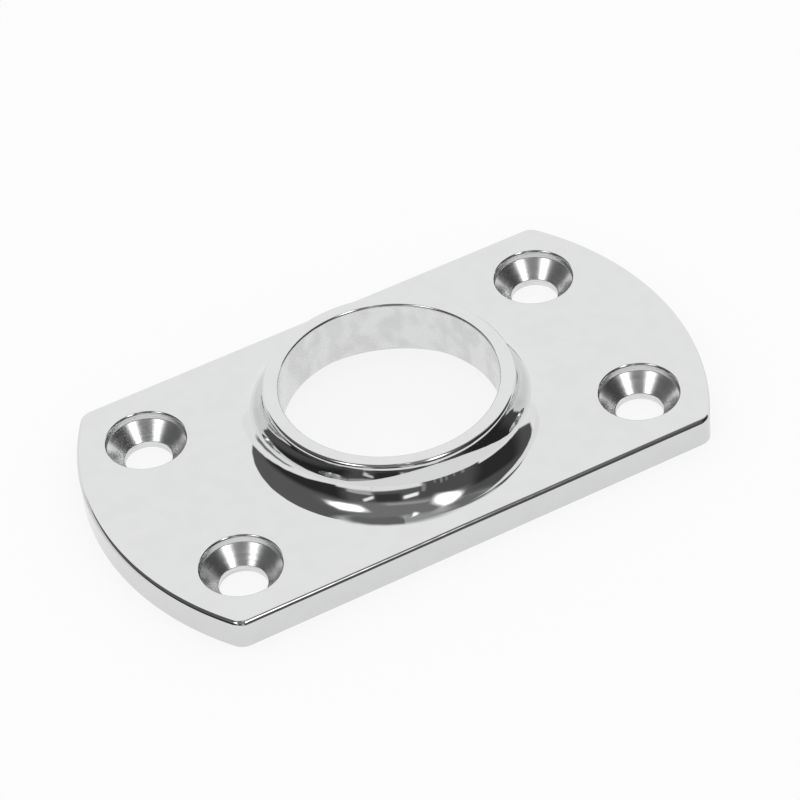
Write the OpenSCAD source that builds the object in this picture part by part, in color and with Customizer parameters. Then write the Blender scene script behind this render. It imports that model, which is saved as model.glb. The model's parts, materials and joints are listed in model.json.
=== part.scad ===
// Rectangular base flange for a round tube, cast in one piece and polished.
// The origin is on the bore's axis at the underside of the plate. +X runs along
// the plate's length and +Z up the bore. All sizes are in millimetres.

/* [Tube] */
// Outside diameter of the tube that the flange takes
tube_d = 25.4; // [22:0.1:27]
// Gap all round between the tube and the bore
tube_gap = 0.1; // [0.05:0.01:0.3]

/* [Plate] */
// Length of the plate, over the crowns of its curved ends
plate_len = 74; // [68:0.5:90]
// Width of the plate across its straight sides
plate_w = 41; // [40.5:0.5:56]
// Thickness of the plate
plate_t = 3.8; // [3.4:0.1:6]
// Radius of the curved ends, seen from above
end_r = 35; // [31:0.5:60]
// Radius of the four corners, seen from above
corner_r = 2; // [1:0.1:5]
// Radius worn by the polish on the plate's top edge
top_edge_r = 0.7; // [0.2:0.05:1.2]
// Radius on the plate's bottom edge
bottom_edge_r = 0.25; // [0.1:0.05:0.6]

/* [Collar] */
// Height of the collar above the plate
collar_h = 5.8; // [4.5:0.1:9]
// Wall of the rim at the top of the collar
rim_wall = 1.9; // [1.4:0.05:2.6]
// Radius on the rim's outer edge
rim_edge_r = 0.6; // [0.1:0.05:0.8]
// Radius of the hollow cove that sweeps from the rim down into the plate
cove_r = 5; // [2:0.1:5.3]

/* [Bore] */
// Radius on the bore's upper edge
bore_edge_r = 0.3; // [0.1:0.05:0.6]
// Depth of the 45 degree groove for the weld, under the bore
weld_groove = 3; // [0.5:0.1:3.2]

/* [Screw holes] */
// Distance between hole centres along the plate
hole_dx = 52; // [49:0.5:54]
// Distance between hole centres across the plate
hole_dy = 24.3; // [22:0.1:26]
// Diameter of the straight hole for the screw's shank
shank_d = 5.6; // [4.2:0.1:6.4]
// Diameter of the recess for the screw's head
head_d = 9.4; // [8.2:0.1:9.8]
// Length of the straight hole below the cone
shank_land = 0.9; // [0.5:0.1:1.2]
// Included angle of the cone under the screw's head
cone_angle = 90; // [82:1:100]
// Radius on the mouth of the recess
head_edge_r = 0.3; // [0.1:0.05:0.4]

/* [Hidden] */
$fn = 96;

// How far a cutting shape reaches past the face that it cuts
cut = 1;

// The flat that is left between the cove's foot and the plate's rounded edge
foot_land = 0.1;

// Bore and collar, worked out from the tube outwards
bore_r = tube_d / 2 + tube_gap;
rim_r = bore_r + rim_wall;
total_h = plate_t + collar_h;
// The cove ends below the rim's rounded edge, and on the flat top of the plate
cove_fit = min(
    cove_r,
    collar_h - rim_edge_r,
    plate_w / 2 - top_edge_r - foot_land - rim_r
);
cove_top_z = plate_t + cove_fit;
cove_foot_r = rim_r + cove_fit;

// Plan of the plate: each end arc is centred on the X axis, and a corner arc
// touches both the end arc and the straight side
end_cx = plate_len / 2 - end_r;
corner_y = plate_w / 2 - corner_r;
corner_turn = asin(corner_y / (end_r - corner_r));
corner_x = end_cx + (end_r - corner_r) * cos(corner_turn);
// The corners are cut by a hair less than that, so that the arcs cross
// cleanly instead of only touching
hair = 0.001;

// Heights in a screw hole
shank_r = shank_d / 2;
head_r = head_d / 2;
cone_top_z = shank_land + (head_r - shank_r) / tan(cone_angle / 2);

steel = [0.86, 0.87, 0.88];

// What the two rounded edges of the plate leave out, seen in section, for a
// wall that stands at the distance reach
module edge_waste(reach) {
    translate([reach - top_edge_r, plate_t - top_edge_r])
        difference() {
            square(top_edge_r + cut);
            circle(top_edge_r);
        }
    translate([reach - bottom_edge_r, bottom_edge_r])
        mirror([0, 1])
            difference() {
                square(bottom_edge_r + cut);
                circle(bottom_edge_r);
            }
}

// The plate in section, from its middle or an axis out to the distance reach
module edge_section(reach) {
    difference() {
        square([reach, plate_t]);
        edge_waste(reach);
    }
}

// What one rounded corner takes off, with the edges rounded along the arc
module corner_cutter() {
    rotate([0, 0, corner_turn])
        rotate_extrude(angle = 90 - corner_turn) {
            edge_waste(corner_r);
            translate([corner_r, -cut]) square([corner_r, plate_t + 2 * cut]);
        }
}

// The half of the plate on the +X side: a straight bar cut off by the disc of
// the crowned end, and rounded at its two corners
module plate_half() {
    difference() {
        intersection() {
            rotate([90, 0, 90])
                linear_extrude(height = plate_len)
                    for (flip = [0, 1]) mirror([flip, 0]) edge_section(plate_w / 2);
            translate([end_cx, 0, 0]) rotate_extrude() edge_section(end_r);
        }
        for (flip = [0, 1])
            mirror([0, flip, 0])
                translate([corner_x + hair, corner_y + hair, 0]) corner_cutter();
    }
}

module plate() {
    for (flip = [0, 1]) mirror([flip, 0, 0]) plate_half();
}

// The collar in section: upright rim with a rounded edge, and the hollow cove.
// Its foot starts half-way down in the plate.
module collar_section() {
    difference() {
        union() {
            translate([bore_r - cut, plate_t / 2])
                square([rim_wall + cut, total_h - plate_t / 2]);
            difference() {
                translate([bore_r - cut, plate_t / 2])
                    square([cove_foot_r - bore_r + cut, cove_top_z - plate_t / 2]);
                translate([cove_foot_r, cove_top_z]) circle(cove_fit);
            }
        }
        translate([rim_r - rim_edge_r, total_h - rim_edge_r])
            difference() {
                square(rim_edge_r + cut);
                circle(rim_edge_r);
            }
    }
}

// What the bore cuts away: its straight wall, the rounded upper edge and the
// weld groove underneath
module bore_cutter() {
    rotate_extrude()
        union() {
            translate([0, -cut]) square([bore_r, total_h + 2 * cut]);
            polygon([
                [0, -cut],
                [bore_r + weld_groove + cut, -cut],
                [bore_r, weld_groove],
                [0, weld_groove]
            ]);
            difference() {
                translate([0, total_h - bore_edge_r])
                    square([bore_r + bore_edge_r, bore_edge_r + cut]);
                translate([bore_r + bore_edge_r, total_h - bore_edge_r])
                    circle(bore_edge_r);
            }
        }
}

// What one screw hole cuts away: shank hole, cone, recess for the head and
// the rounded mouth
module screw_hole_cutter() {
    rotate_extrude()
        union() {
            polygon([
                [0, -cut],
                [shank_r, -cut],
                [shank_r, shank_land],
                [head_r, cone_top_z],
                [head_r, plate_t + cut],
                [0, plate_t + cut]
            ]);
            difference() {
                translate([0, plate_t - head_edge_r])
                    square([head_r + head_edge_r, head_edge_r + cut]);
                translate([head_r + head_edge_r, plate_t - head_edge_r])
                    circle(head_edge_r);
            }
        }
}

module base_flange() {
    color(steel)
        difference() {
            union() {
                plate();
                rotate_extrude() collar_section();
            }
            bore_cutter();
            for (side = [-1, 1], end = [-1, 1])
                translate([end * hole_dx / 2, side * hole_dy / 2, 0])
                    screw_hole_cutter();
        }
}

base_flange();
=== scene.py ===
"""A polished base flange for a round tube, on a white floor. All sizes are in metres."""

import json
from math import asin, cos, pi, radians, sin

import bmesh
import bpy
from mathutils import Matrix, Vector


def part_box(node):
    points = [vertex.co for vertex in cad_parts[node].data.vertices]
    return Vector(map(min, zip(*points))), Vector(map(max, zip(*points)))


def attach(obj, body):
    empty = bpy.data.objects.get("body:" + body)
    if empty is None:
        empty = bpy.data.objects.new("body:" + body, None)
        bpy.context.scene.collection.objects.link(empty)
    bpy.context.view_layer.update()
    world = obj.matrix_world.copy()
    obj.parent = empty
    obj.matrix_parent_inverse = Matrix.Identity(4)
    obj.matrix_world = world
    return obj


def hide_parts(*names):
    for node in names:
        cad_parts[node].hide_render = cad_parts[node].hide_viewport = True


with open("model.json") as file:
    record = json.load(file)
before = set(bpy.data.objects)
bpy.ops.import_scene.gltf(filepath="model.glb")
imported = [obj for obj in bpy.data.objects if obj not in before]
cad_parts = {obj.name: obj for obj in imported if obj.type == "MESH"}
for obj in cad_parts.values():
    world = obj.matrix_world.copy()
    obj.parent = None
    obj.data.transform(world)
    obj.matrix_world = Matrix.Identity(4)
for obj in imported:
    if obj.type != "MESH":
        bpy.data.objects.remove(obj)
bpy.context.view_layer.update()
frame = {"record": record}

# The flange: one steel casting, turned and polished, with a crowned plate, a hollow-sided collar
# and four countersunk holes. It is symmetric about both upright planes, so one quarter is drawn
# and mirrored. First comes the plate's edge, drawn in section and swept round the quarter.
MM = 0.001
low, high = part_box("base_flange")
dims = {mount["name"]: mount["dims"] for mount in frame["record"]["mounts"]}
plate_len = high.x - low.x
plate_w = high.y - low.y
plate_t = 3.8 * MM
end_r = 35 * MM
corner_r = 2 * MM
top_edge_r = 0.7 * MM
bottom_edge_r = 0.25 * MM
top_edge_steps = 20
bottom_edge_steps = 8
crown_steps = 28
corner_steps = 18

end_x = plate_len / 2
end_cx = end_x - end_r
corner_y = plate_w / 2 - corner_r
corner_turn = asin(corner_y / (end_r - corner_r))
corner_x = end_cx + (end_r - corner_r) * cos(corner_turn)


def line_to(bm, end, *points):
    """Draws straight edges from the vertex end through the points, and gives the last vertex."""
    for point in points:
        end = bmesh.ops.extrude_vert_indiv(bm, verts=[end])["verts"][0]
        end.co = point
    return end


def arc_to(bm, end, centre, turn, steps):
    """Draws an arc in the XZ plane from the vertex end, and gives its last vertex."""
    spun = bmesh.ops.spin(bm, geom=[end], cent=centre, axis=(0, 1, 0), angle=turn, steps=steps)
    return next(part for part in spun["geom_last"] if isinstance(part, bmesh.types.BMVert))


def sweep(bm, edges, centre, turn, steps):
    """Turns the edges round an upright axis, and gives the edges where they end."""
    spun = bmesh.ops.spin(bm, geom=edges, cent=centre, axis=(0, 0, 1), angle=turn, steps=steps)
    return [part for part in spun["geom_last"] if isinstance(part, bmesh.types.BMEdge)]


quarter = bmesh.new()
top_centre = (end_x - top_edge_r, 0, plate_t - top_edge_r)
bottom_centre = (end_x - bottom_edge_r, 0, bottom_edge_r)
tip = quarter.verts.new((end_x - top_edge_r, 0, plate_t))
tip = arc_to(quarter, tip, top_centre, pi / 2, top_edge_steps)
tip = line_to(quarter, tip, (end_x, 0, bottom_edge_r))
tip = arc_to(quarter, tip, bottom_centre, pi / 2, bottom_edge_steps)
section = sweep(quarter, list(quarter.edges), (end_cx, 0, 0), corner_turn, crown_steps)
corner_centre = (corner_x, corner_y, 0)
section = sweep(quarter, section, corner_centre, pi / 2 - corner_turn, corner_steps)
side = bmesh.ops.extrude_edge_only(quarter, edges=section)["geom"]
side = [part for part in side if isinstance(part, bmesh.types.BMVert)]
bmesh.ops.translate(quarter, verts=side, vec=(-corner_x, 0, 0))

# The collar and the bore: turned in one go with the casting, from the hollow cove that sweeps up
# out of the plate to the rounded rim, and inside down to the groove that takes the weld under
# the plate.
bore_r = dims["tube_bore"]["r_mm"] * MM
total_h = high.z
rim_wall = 1.9 * MM
rim_edge_r = 0.6 * MM
cove_r = 5 * MM
bore_edge_r = 0.3 * MM
weld_groove = 3 * MM
cove_steps = 72
rim_edge_steps = 20
bore_edge_steps = 12
collar_steps = 64

rim_r = bore_r + rim_wall
cove_centre = (rim_r + cove_r, 0, plate_t + cove_r)
rim_centre = (rim_r - rim_edge_r, 0, total_h - rim_edge_r)
bore_edge_centre = (bore_r + bore_edge_r, 0, total_h - bore_edge_r)
plate_edges = set(quarter.edges)
tip = quarter.verts.new((rim_r + cove_r, 0, plate_t))
tip = arc_to(quarter, tip, cove_centre, pi / 2, cove_steps)
tip = line_to(quarter, tip, (rim_r, 0, total_h - rim_edge_r))
tip = arc_to(quarter, tip, rim_centre, -pi / 2, rim_edge_steps)
tip = line_to(quarter, tip, (bore_r + bore_edge_r, 0, total_h))
tip = arc_to(quarter, tip, bore_edge_centre, -pi / 2, bore_edge_steps)
line_to(quarter, tip, (bore_r, 0, weld_groove), (bore_r + weld_groove, 0, 0))
section = [edge for edge in quarter.edges if edge not in plate_edges]
sweep(quarter, section, (0, 0, 0), pi / 2, collar_steps)

# The screw holes: a straight hole for the shank, a cone of 90 degrees and a shallow recess for
# the head, all cut with one tool that also takes the sharpness off the mouth.
hole_x = dims["screw_holes"]["spacing_x_mm"] / 2 * MM
hole_y = dims["screw_holes"]["spacing_y_mm"] / 2 * MM
shank_r = dims["screw_holes"]["hole_r_mm"] * MM
head_r = 4.7 * MM
head_edge_r = 0.3 * MM
shank_land = 0.9 * MM
mouth_steps = 8
hole_steps = 96

cone_top_z = shank_land + head_r - shank_r
mouth_x = hole_x + head_r + head_edge_r
others = set(quarter.edges)
tip = quarter.verts.new((mouth_x, hole_y, plate_t))
tip = arc_to(quarter, tip, (mouth_x, hole_y, plate_t - head_edge_r), -pi / 2, mouth_steps)
line_to(
    quarter,
    tip,
    (hole_x + head_r, hole_y, cone_top_z),
    (hole_x + shank_r, hole_y, shank_land),
    (hole_x + shank_r, hole_y, 0),
)
section = [edge for edge in quarter.edges if edge not in others]
bmesh.ops.spin(
    quarter,
    geom=section,
    cent=(hole_x, hole_y, 0),
    axis=(0, 0, 1),
    angle=2 * pi,
    steps=hole_steps,
    use_merge=True,
)

# The flat faces: the top of the plate and its underside close the quarter, which is then
# mirrored into the whole casting. Every edge that the tools left sharp is eased.
edge_ease = 0.06 * MM
ease_steps = 3
sharp_angle = radians(25)
merge_gap = 1e-7


def on_level(edge, z):
    """True for an edge whose ends both lie at the height z."""
    return all(abs(vert.co.z - z) < merge_gap for vert in edge.verts)


bmesh.ops.remove_doubles(quarter, verts=quarter.verts, dist=merge_gap)
for level in (plate_t, 0):
    rim = [edge for edge in quarter.edges if edge.is_boundary and on_level(edge, level)]
    verts = {vert for edge in rim for vert in edge.verts}
    for axis in (0, 1):
        on_plane = [vert for vert in verts if abs(vert.co[axis]) < merge_gap]
        on_plane.sort(key=lambda vert: vert.co.length)
        rim.append(quarter.edges.new((on_plane[0], on_plane[-1])))
    bmesh.ops.triangle_fill(quarter, edges=rim, use_beauty=True)

for axis in ("X", "Y"):
    bmesh.ops.mirror(
        quarter,
        geom=quarter.verts[:] + quarter.edges[:] + quarter.faces[:],
        matrix=Matrix.Identity(4),
        merge_dist=merge_gap,
        axis=axis,
    )
bmesh.ops.remove_doubles(quarter, verts=quarter.verts, dist=merge_gap)
bmesh.ops.recalc_face_normals(quarter, faces=quarter.faces)
sharp = [edge for edge in quarter.edges if edge.calc_face_angle(0) > sharp_angle]
bmesh.ops.bevel(
    quarter,
    geom=sharp,
    offset=edge_ease,
    offset_type="OFFSET",
    segments=ease_steps,
    profile=0.5,
    affect="EDGES",
    material=-1,
)

# Which finish a face gets goes by where its middle lies. The numbers are those of the materials
# further down.
MIRROR_POLISH, TURNED_BORE, TURNED_HOLE, GROUND_FACE = range(4)


def finish_number(middle):
    """The finish of a face whose middle is given."""
    from_axis = Vector((middle.x, middle.y)).length
    from_hole = Vector((abs(middle.x) - hole_x, abs(middle.y) - hole_y)).length
    in_groove = from_axis < bore_r + weld_groove and middle.z < weld_groove - edge_ease
    if middle.z < edge_ease or in_groove:
        return GROUND_FACE
    if from_axis < bore_r + edge_ease and middle.z < total_h - bore_edge_r:
        return TURNED_BORE
    if from_hole < head_r + edge_ease and middle.z < plate_t - head_edge_r:
        return TURNED_HOLE
    return MIRROR_POLISH


for face in quarter.faces:
    face.smooth = True
    face.material_index = finish_number(face.calc_center_median())

# Each point is shaded by the faces round it, the larger ones more, and a level face counts
# whole, so that the reflections run evenly over the flat top and round the edges.
level_cosine = 1 - 1e-6
whole_area = 1
quarter.normal_update()
facings = []
for vert in quarter.verts:
    facing = Vector()
    for face in vert.link_faces:
        is_level = abs(face.normal.z) > level_cosine
        facing += face.normal * (whole_area if is_level else face.calc_area())
    facings.append(facing.normalized())

flange_mesh = bpy.data.meshes.new("base_flange_polished")
quarter.to_mesh(flange_mesh)
quarter.free()
flange_mesh.normals_split_custom_set_from_vertices(facings)
flange = bpy.data.objects.new("base_flange_polished", flange_mesh)
bpy.context.scene.collection.objects.link(flange)
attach(flange, "root")
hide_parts("base_flange")

# The finishes: the outside is buffed to a mirror, the bore and the screw holes are left as
# the tools cut them, and the underside is only ground flat. All are the same bare steel.
steel = (0.68, 0.682, 0.685)
stain_range = (0.35, 0.6)


def new_material(name):
    """Makes an empty node material, and gives it with its nodes and links."""
    material = bpy.data.materials.new(name)
    material.use_nodes = True
    material.node_tree.nodes.clear()
    return material, material.node_tree.nodes, material.node_tree.links


def wear_group():
    """Fine marks of a tool and a slow unevenness, both as values between nought and one."""
    group = bpy.data.node_groups.new("tool_marks", "ShaderNodeTree")
    group.interface.new_socket("Vector", in_out="INPUT", socket_type="NodeSocketVector")
    for name in ("Grain", "Wave"):
        group.interface.new_socket(name, in_out="INPUT", socket_type="NodeSocketFloat")
    for name in ("Marks", "Swell"):
        group.interface.new_socket(name, in_out="OUTPUT", socket_type="NodeSocketFloat")
    nodes, links = group.nodes, group.links
    way_in = nodes.new("NodeGroupInput")
    way_out = nodes.new("NodeGroupOutput")
    for size, output, detail in (("Grain", "Marks", 3), ("Wave", "Swell", 1)):
        noise = nodes.new("ShaderNodeTexNoise")
        noise.inputs["Detail"].default_value = detail
        links.new(way_in.outputs["Vector"], noise.inputs["Vector"])
        links.new(way_in.outputs[size], noise.inputs["Scale"])
        links.new(noise.outputs["Fac"], way_out.inputs[output])
    return group


tool_marks = wear_group()


def finish(name, stretch, grain, wave, rough, marks_depth, swell_depth, shade):
    """A steel finish: stretch is how the marks run along X, Y and Z, grain and wave how many
    marks and swells go to a metre, rough the roughness at its smoothest and roughest, the
    depths those of the marks and of the swell in metres, and shade how bright the steel is in
    its stains and beside them."""
    material, nodes, links = new_material(name)
    place = nodes.new("ShaderNodeTexCoord")
    place.name = "place"
    turn = nodes.new("ShaderNodeMapping")
    turn.inputs["Scale"].default_value = stretch
    wear = nodes.new("ShaderNodeGroup")
    wear.node_tree = tool_marks
    wear.inputs["Grain"].default_value = grain
    wear.inputs["Wave"].default_value = wave
    broad = nodes.new("ShaderNodeBump")
    broad.name = "broad"
    broad.inputs["Distance"].default_value = swell_depth
    fine = nodes.new("ShaderNodeBump")
    fine.inputs["Distance"].default_value = marks_depth
    rough_range = nodes.new("ShaderNodeMapRange")
    rough_range.inputs["To Min"].default_value = rough[0]
    rough_range.inputs["To Max"].default_value = rough[1]
    stain = nodes.new("ShaderNodeMapRange")
    stain.interpolation_type = "SMOOTHSTEP"
    stain.inputs["From Min"].default_value = stain_range[0]
    stain.inputs["From Max"].default_value = stain_range[1]
    tone = nodes.new("ShaderNodeMix")
    tone.data_type = "RGBA"
    for socket, share in zip(("A", "B"), shade):
        tone.inputs[socket].default_value = [channel * share for channel in steel] + [1]
    shader = nodes.new("ShaderNodeBsdfPrincipled")
    shader.inputs["Metallic"].default_value = 1
    out = nodes.new("ShaderNodeOutputMaterial")
    links.new(place.outputs["Object"], turn.inputs["Vector"])
    links.new(turn.outputs["Vector"], wear.inputs["Vector"])
    links.new(wear.outputs["Swell"], broad.inputs["Height"])
    links.new(wear.outputs["Marks"], fine.inputs["Height"])
    links.new(broad.outputs["Normal"], fine.inputs["Normal"])
    links.new(wear.outputs["Marks"], rough_range.inputs["Value"])
    links.new(wear.outputs["Swell"], stain.inputs["Value"])
    links.new(stain.outputs["Result"], tone.inputs["Factor"])
    links.new(tone.outputs["Result"], shader.inputs["Base Color"])
    links.new(rough_range.outputs["Result"], shader.inputs["Roughness"])
    links.new(fine.outputs["Normal"], shader.inputs["Normal"])
    links.new(shader.outputs["BSDF"], out.inputs["Surface"])
    return material


mirror_polish = finish(
    "mirror_polish",
    stretch=(1, 1, 1),
    grain=3000,
    wave=450,
    rough=(0.02, 0.04),
    marks_depth=0.05e-6,
    swell_depth=14e-6,
    shade=(0.985, 1),
)
turned_bore = finish(
    "turned_bore",
    stretch=(1, 1, 0.8),
    grain=1400,
    wave=400,
    rough=(0.2, 0.34),
    marks_depth=8e-6,
    swell_depth=30e-6,
    shade=(1, 1.13),
)
turned_hole = finish(
    "turned_hole",
    stretch=(0.03, 0.03, 1),
    grain=9000,
    wave=9000,
    rough=(0.2, 0.28),
    marks_depth=10e-6,
    swell_depth=0,
    shade=(1, 1.12),
)
ground_face = finish(
    "ground_face",
    stretch=(0.05, 1, 1),
    grain=6000,
    wave=150,
    rough=(0.3, 0.42),
    marks_depth=1e-6,
    swell_depth=2e-6,
    shade=(0.95, 1),
)
for material in (mirror_polish, turned_bore, turned_hole, ground_face):
    flange_mesh.materials.append(material)

# The polish runs out over the foot of the cove, where the wheel leaves a shallow slope round
# the bore's axis.
slope_start = 18.9 * MM
slope_end = 21.1 * MM
slope_drop = 0.05 * MM
nodes, links = mirror_polish.node_tree.nodes, mirror_polish.node_tree.links
flat = nodes.new("ShaderNodeVectorMath")
flat.operation = "MULTIPLY"
flat.inputs[1].default_value = (1, 1, 0)
reach = nodes.new("ShaderNodeVectorMath")
reach.operation = "LENGTH"
run_out = nodes.new("ShaderNodeMapRange")
run_out.interpolation_type = "SMOOTHSTEP"
run_out.inputs["From Min"].default_value = slope_start
run_out.inputs["From Max"].default_value = slope_end
run_out.inputs["To Min"].default_value = 1
run_out.inputs["To Max"].default_value = 0
slope = nodes.new("ShaderNodeBump")
slope.inputs["Distance"].default_value = slope_drop
links.new(nodes["place"].outputs["Object"], flat.inputs[0])
links.new(flat.outputs["Vector"], reach.inputs[0])
links.new(reach.outputs["Value"], run_out.inputs["Value"])
links.new(run_out.outputs["Result"], slope.inputs["Height"])
links.new(slope.outputs["Normal"], nodes["broad"].inputs["Normal"])

# The fine steps that the countersink leaves in the cone lean up a little, so that the cone
# mirrors as if it opened wider, by this much for each unit of height.
cone_lean = 0.13
nodes, links = turned_hole.node_tree.nodes, turned_hole.node_tree.links
upright = nodes.new("ShaderNodeSeparateXYZ")
fall = nodes.new("ShaderNodeMath")
fall.operation = "MULTIPLY"
fall.inputs[1].default_value = -cone_lean
lean = nodes.new("ShaderNodeBump")
lean.inputs["Distance"].default_value = 1
links.new(nodes["place"].outputs["Object"], upright.inputs["Vector"])
links.new(upright.outputs["Z"], fall.inputs[0])
links.new(fall.outputs["Value"], lean.inputs["Height"])
links.new(lean.outputs["Normal"], nodes["broad"].inputs["Normal"])

# The floor: a level white sheet of paper, a hair below the flange. Most of it glows, so that it
# is white to the eye and to the polished steel, and the rest takes the flange's soft shadow.
# Seen from beneath it is clear, so that the flange's underside shows.
floor_reach = 1.2
floor_cells = 8
floor_gap = 0.02 * MM
paper_white = 0.93
glow_white = 0.985
glow_share = 0.85

floor_shape = bmesh.new()
bmesh.ops.create_grid(
    floor_shape,
    x_segments=floor_cells,
    y_segments=floor_cells,
    size=floor_reach,
    matrix=Matrix.Translation((0, 0, -floor_gap)),
)
floor_mesh = bpy.data.meshes.new("floor")
floor_shape.to_mesh(floor_mesh)
floor_shape.free()
floor = bpy.data.objects.new("floor", floor_mesh)
bpy.context.scene.collection.objects.link(floor)

floor_white, nodes, links = new_material("white_floor")
paper = nodes.new("ShaderNodeBsdfDiffuse")
paper.inputs["Color"].default_value = (paper_white, paper_white, paper_white, 1)
glow = nodes.new("ShaderNodeEmission")
glow.inputs["Color"].default_value = (glow_white, glow_white, glow_white, 1)
path = nodes.new("ShaderNodeLightPath")
seen = nodes.new("ShaderNodeMath")
seen.operation = "MAXIMUM"
share = nodes.new("ShaderNodeMath")
share.operation = "MULTIPLY"
share.inputs[1].default_value = glow_share
lit_paper = nodes.new("ShaderNodeMixShader")
under = nodes.new("ShaderNodeNewGeometry")
clear = nodes.new("ShaderNodeBsdfTransparent")
one_way = nodes.new("ShaderNodeMixShader")
out = nodes.new("ShaderNodeOutputMaterial")
links.new(path.outputs["Is Camera Ray"], seen.inputs[0])
links.new(path.outputs["Is Glossy Ray"], seen.inputs[1])
links.new(seen.outputs["Value"], share.inputs[0])
links.new(share.outputs["Value"], lit_paper.inputs["Fac"])
links.new(paper.outputs["BSDF"], lit_paper.inputs[1])
links.new(glow.outputs["Emission"], lit_paper.inputs[2])
links.new(under.outputs["Backfacing"], one_way.inputs["Fac"])
links.new(lit_paper.outputs["Shader"], one_way.inputs[1])
links.new(clear.outputs["BSDF"], one_way.inputs[2])
links.new(one_way.outputs["Shader"], out.inputs["Surface"])
floor_mesh.materials.append(floor_white)

# The studio: white walls behind the flange, a dark room round the camera, and in it diffusers,
# lamps and posts. A panel's row has its left, right, bottom and top in degrees, right of the
# camera and up, its climb per degree of turn, how soft its sides and levels are, and its light.
camera_turn = -24.994
wall_light = 1.1
open_light = 1.0
panels = [
    # The dim ceiling, left and right
    (-202, 3, 72, 110, -0.07, 11, 4.7, 0.168),
    (-2, 199, 76, 117, 0.03, 18, 6.5, 0.402),
    # The dark room, left and right, and its paler upper part
    (-127, 17, -5, 72, 0, 1.2, 2.5, 0.129),
    (15, 120, -5, 61, 0.03, 1.5, 3, 0.101),
    (-67, 58, 41, 79, 0, 15, 4.4, 0.224),
    (61, 118, 59, 77, 0.11, 8, 5.6, 0.201),
    # Its darkest corners, and a pale beam between the diffusers
    (-114, -43, -5, 29, 0.3, 8, 6, 0.0313),
    (-20, 1, 20, 40, 0, 3, 4, 0.0503),
    (61, 104, -5, 42, -0.19, 8, 4, 0.0335),
    (-14, 26, 44.5, 51, 0.1, 5, 2.5, 0.402),
    # The two diffusers, and three small lamps
    (-61, -39, 50, 60.5, 0.1, 9, 7, 6),
    (33, 53, 47, 61.5, 0.45, 9, 8, 6),
    (-29.5, -20.5, 28.5, 35, -0.9, 1.5, 2, 1.12),
    (2.5, 14, 26, 34, -0.4, 1.5, 2.5, 1.29),
    (19, 34, 76.5, 82, 0.4, 6, 3, 2),
    # A tall post and five short ones, and a pale board on the left
    (16.5, 20, 2, 24, 0.1, 1, 3, 0.291),
    (26, 27.5, -5, 9, 0, 0.7, 3, 0.28),
    (31, 33, -5, 13, 0, 0.8, 3, 0.335),
    (36, 37.5, -5, 11, 0, 0.7, 3, 0.28),
    (42, 43.5, -5, 8, 0, 0.7, 3, 0.28),
    (48, 51, -5, 7, 0, 0.8, 3, 0.313),
    (-40, -21, 6, 20, 0.3, 2.5, 1.5, 0.503),
    # White strips along the horizon, which cut off the lower edges of all the panels above
    (-145, -47, -20, 12.8, -0.155, 2, 1.3, 1.04),
    (-49, -20, -20, 10, 0.1, 2, 2.5, 1.04),
    (-21, 17, -20, 10.8, -0.12, 2, 2.5, 1.04),
    (17, 64, -20, 0.3, 0, 1, 1.2, 1.04),
    (64, 109, -20, 4.2, -0.07, 1.5, 1.3, 1.04),
    (106, 131, -20, 13.5, 1.1, 1.5, 2, 1.04),
    # A bright gap on the right, and a dim patch low on the left
    (103, 131, 33, 50, -1.4, 1.5, 2, 1.01),
    (-126, -87, -6, 4.4, -0.1, 3, 1.5, 0.224),
]

world = bpy.data.worlds.new("studio")
bpy.context.scene.world = world
world.use_nodes = True
# The world is even for all but glossy rays, so its light needs no sampling.
world.cycles.sampling_method = "NONE"
nodes, links = world.node_tree.nodes, world.node_tree.links
nodes.clear()


def maths(operation, *inputs):
    """A math node in the world, with numbers or other nodes' sockets as inputs."""
    node = nodes.new("ShaderNodeMath")
    node.operation = operation
    for socket, value in zip(node.inputs, inputs):
        if isinstance(value, (int, float)):
            socket.default_value = value
        else:
            links.new(value, socket)
    return node.outputs["Value"]


def window(value, span, blur):
    """One between the two ends of the span and nought outside, with soft ends."""
    sides = []
    for end, way in zip(span, (1, -1)):
        ramp = nodes.new("ShaderNodeMapRange")
        ramp.interpolation_type = "SMOOTHSTEP"
        ramp.inputs["From Min"].default_value = end - way * blur
        ramp.inputs["From Max"].default_value = end + way * blur
        links.new(value, ramp.inputs["Value"])
        sides.append(ramp.outputs["Result"])
    return maths("MULTIPLY", *sides)


def blend_to(level, fresh, mask):
    """Goes from the level to the fresh one where the mask is one."""
    return maths("MULTIPLY_ADD", maths("SUBTRACT", fresh, level), mask, level)


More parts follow.
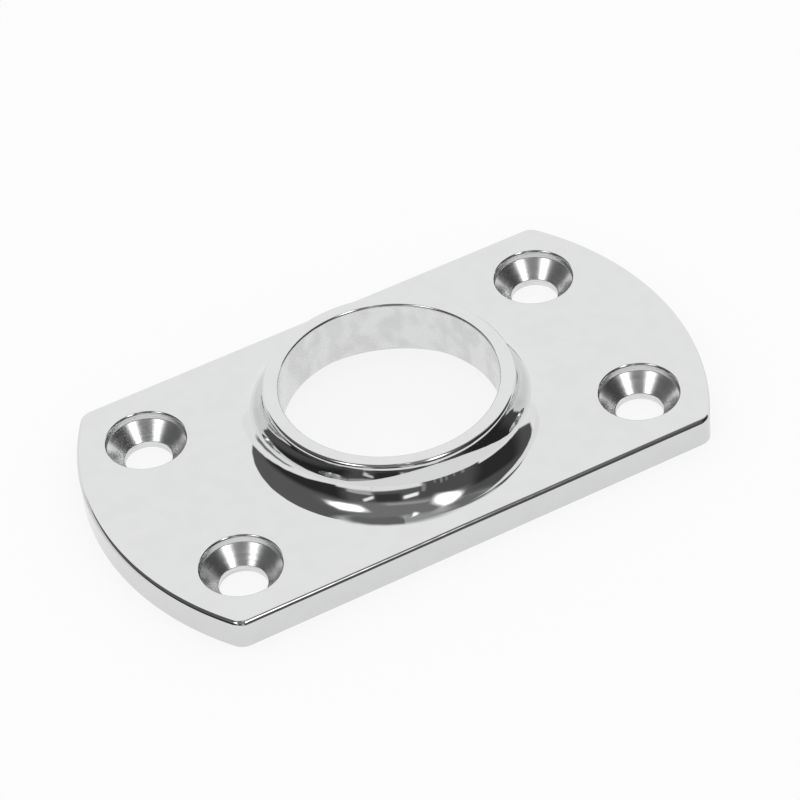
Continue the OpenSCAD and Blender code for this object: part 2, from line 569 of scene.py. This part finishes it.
where = nodes.new("ShaderNodeTexCoord")
to_camera = nodes.new("ShaderNodeVectorRotate")
to_camera.rotation_type = "Z_AXIS"
to_camera.inputs["Angle"].default_value = radians(-camera_turn)
split = nodes.new("ShaderNodeSeparateXYZ")
links.new(where.outputs["Generated"], to_camera.inputs["Vector"])
links.new(to_camera.outputs["Vector"], split.inputs["Vector"])
towards = maths("MULTIPLY", split.outputs["Y"], -1)
turn = maths("DEGREES", maths("ARCTAN2", split.outputs["X"], towards))
height = maths("DEGREES", maths("ARCSINE", split.outputs["Z"]))
level = wall_light
for left, right, bottom, top, climb, soft_sides, soft_levels, light in panels:
    middle = (left + right) / 2
    straight = maths("MULTIPLY_ADD", maths("SUBTRACT", turn, middle), -climb, height)
    across = window(turn, (left, right), soft_sides)
    upwards = window(straight, (bottom, top), soft_levels)
    level = blend_to(level, light, maths("MULTIPLY", across, upwards))

# Only glossy rays see the studio. All others see an even white, which lights the flange plainly.
path = nodes.new("ShaderNodeLightPath")
level = blend_to(open_light, level, path.outputs["Is Glossy Ray"])
sky = nodes.new("ShaderNodeBackground")
out = nodes.new("ShaderNodeOutputWorld")
links.new(level, sky.inputs["Color"])
links.new(sky.outputs["Background"], out.inputs["Surface"])

# The camera: a long lens, from the left and half above. Its place was found from the rim, the
# bore, the holes and the plate's outline in the photograph, in radii of the bore.
camera_height = radians(42.537)
camera_roll = radians(-5.651)
camera_distance = 35.1195 * bore_r
aim_right = 0.0825 * bore_r
aim_up = 0.3518 * bore_r
focal_pixels = 3859.58
frame_pixels = 800
sensor_mm = 36

camera_data = bpy.data.cameras.new("camera")
camera_data.sensor_width = sensor_mm
camera_data.lens = focal_pixels * sensor_mm / frame_pixels
camera_data.clip_start = 0.01
camera_data.clip_end = 10
camera = bpy.data.objects.new("camera", camera_data)
bpy.context.scene.collection.objects.link(camera)
bpy.context.scene.camera = camera
level_back = Vector((0, -cos(camera_height), sin(camera_height)))
back = Matrix.Rotation(radians(camera_turn), 3, "Z") @ level_back
right = (-back).cross(Vector((0, 0, 1))).normalized()
up = right.cross(-back)
place = back * camera_distance + right * aim_right + up * aim_up
turned = Matrix((right, up, back)).transposed() @ Matrix.Rotation(camera_roll, 3, "Z")
camera.matrix_world = Matrix.Translation(place) @ turned.to_4x4()

bpy.context.scene.view_settings.view_transform = "Standard"
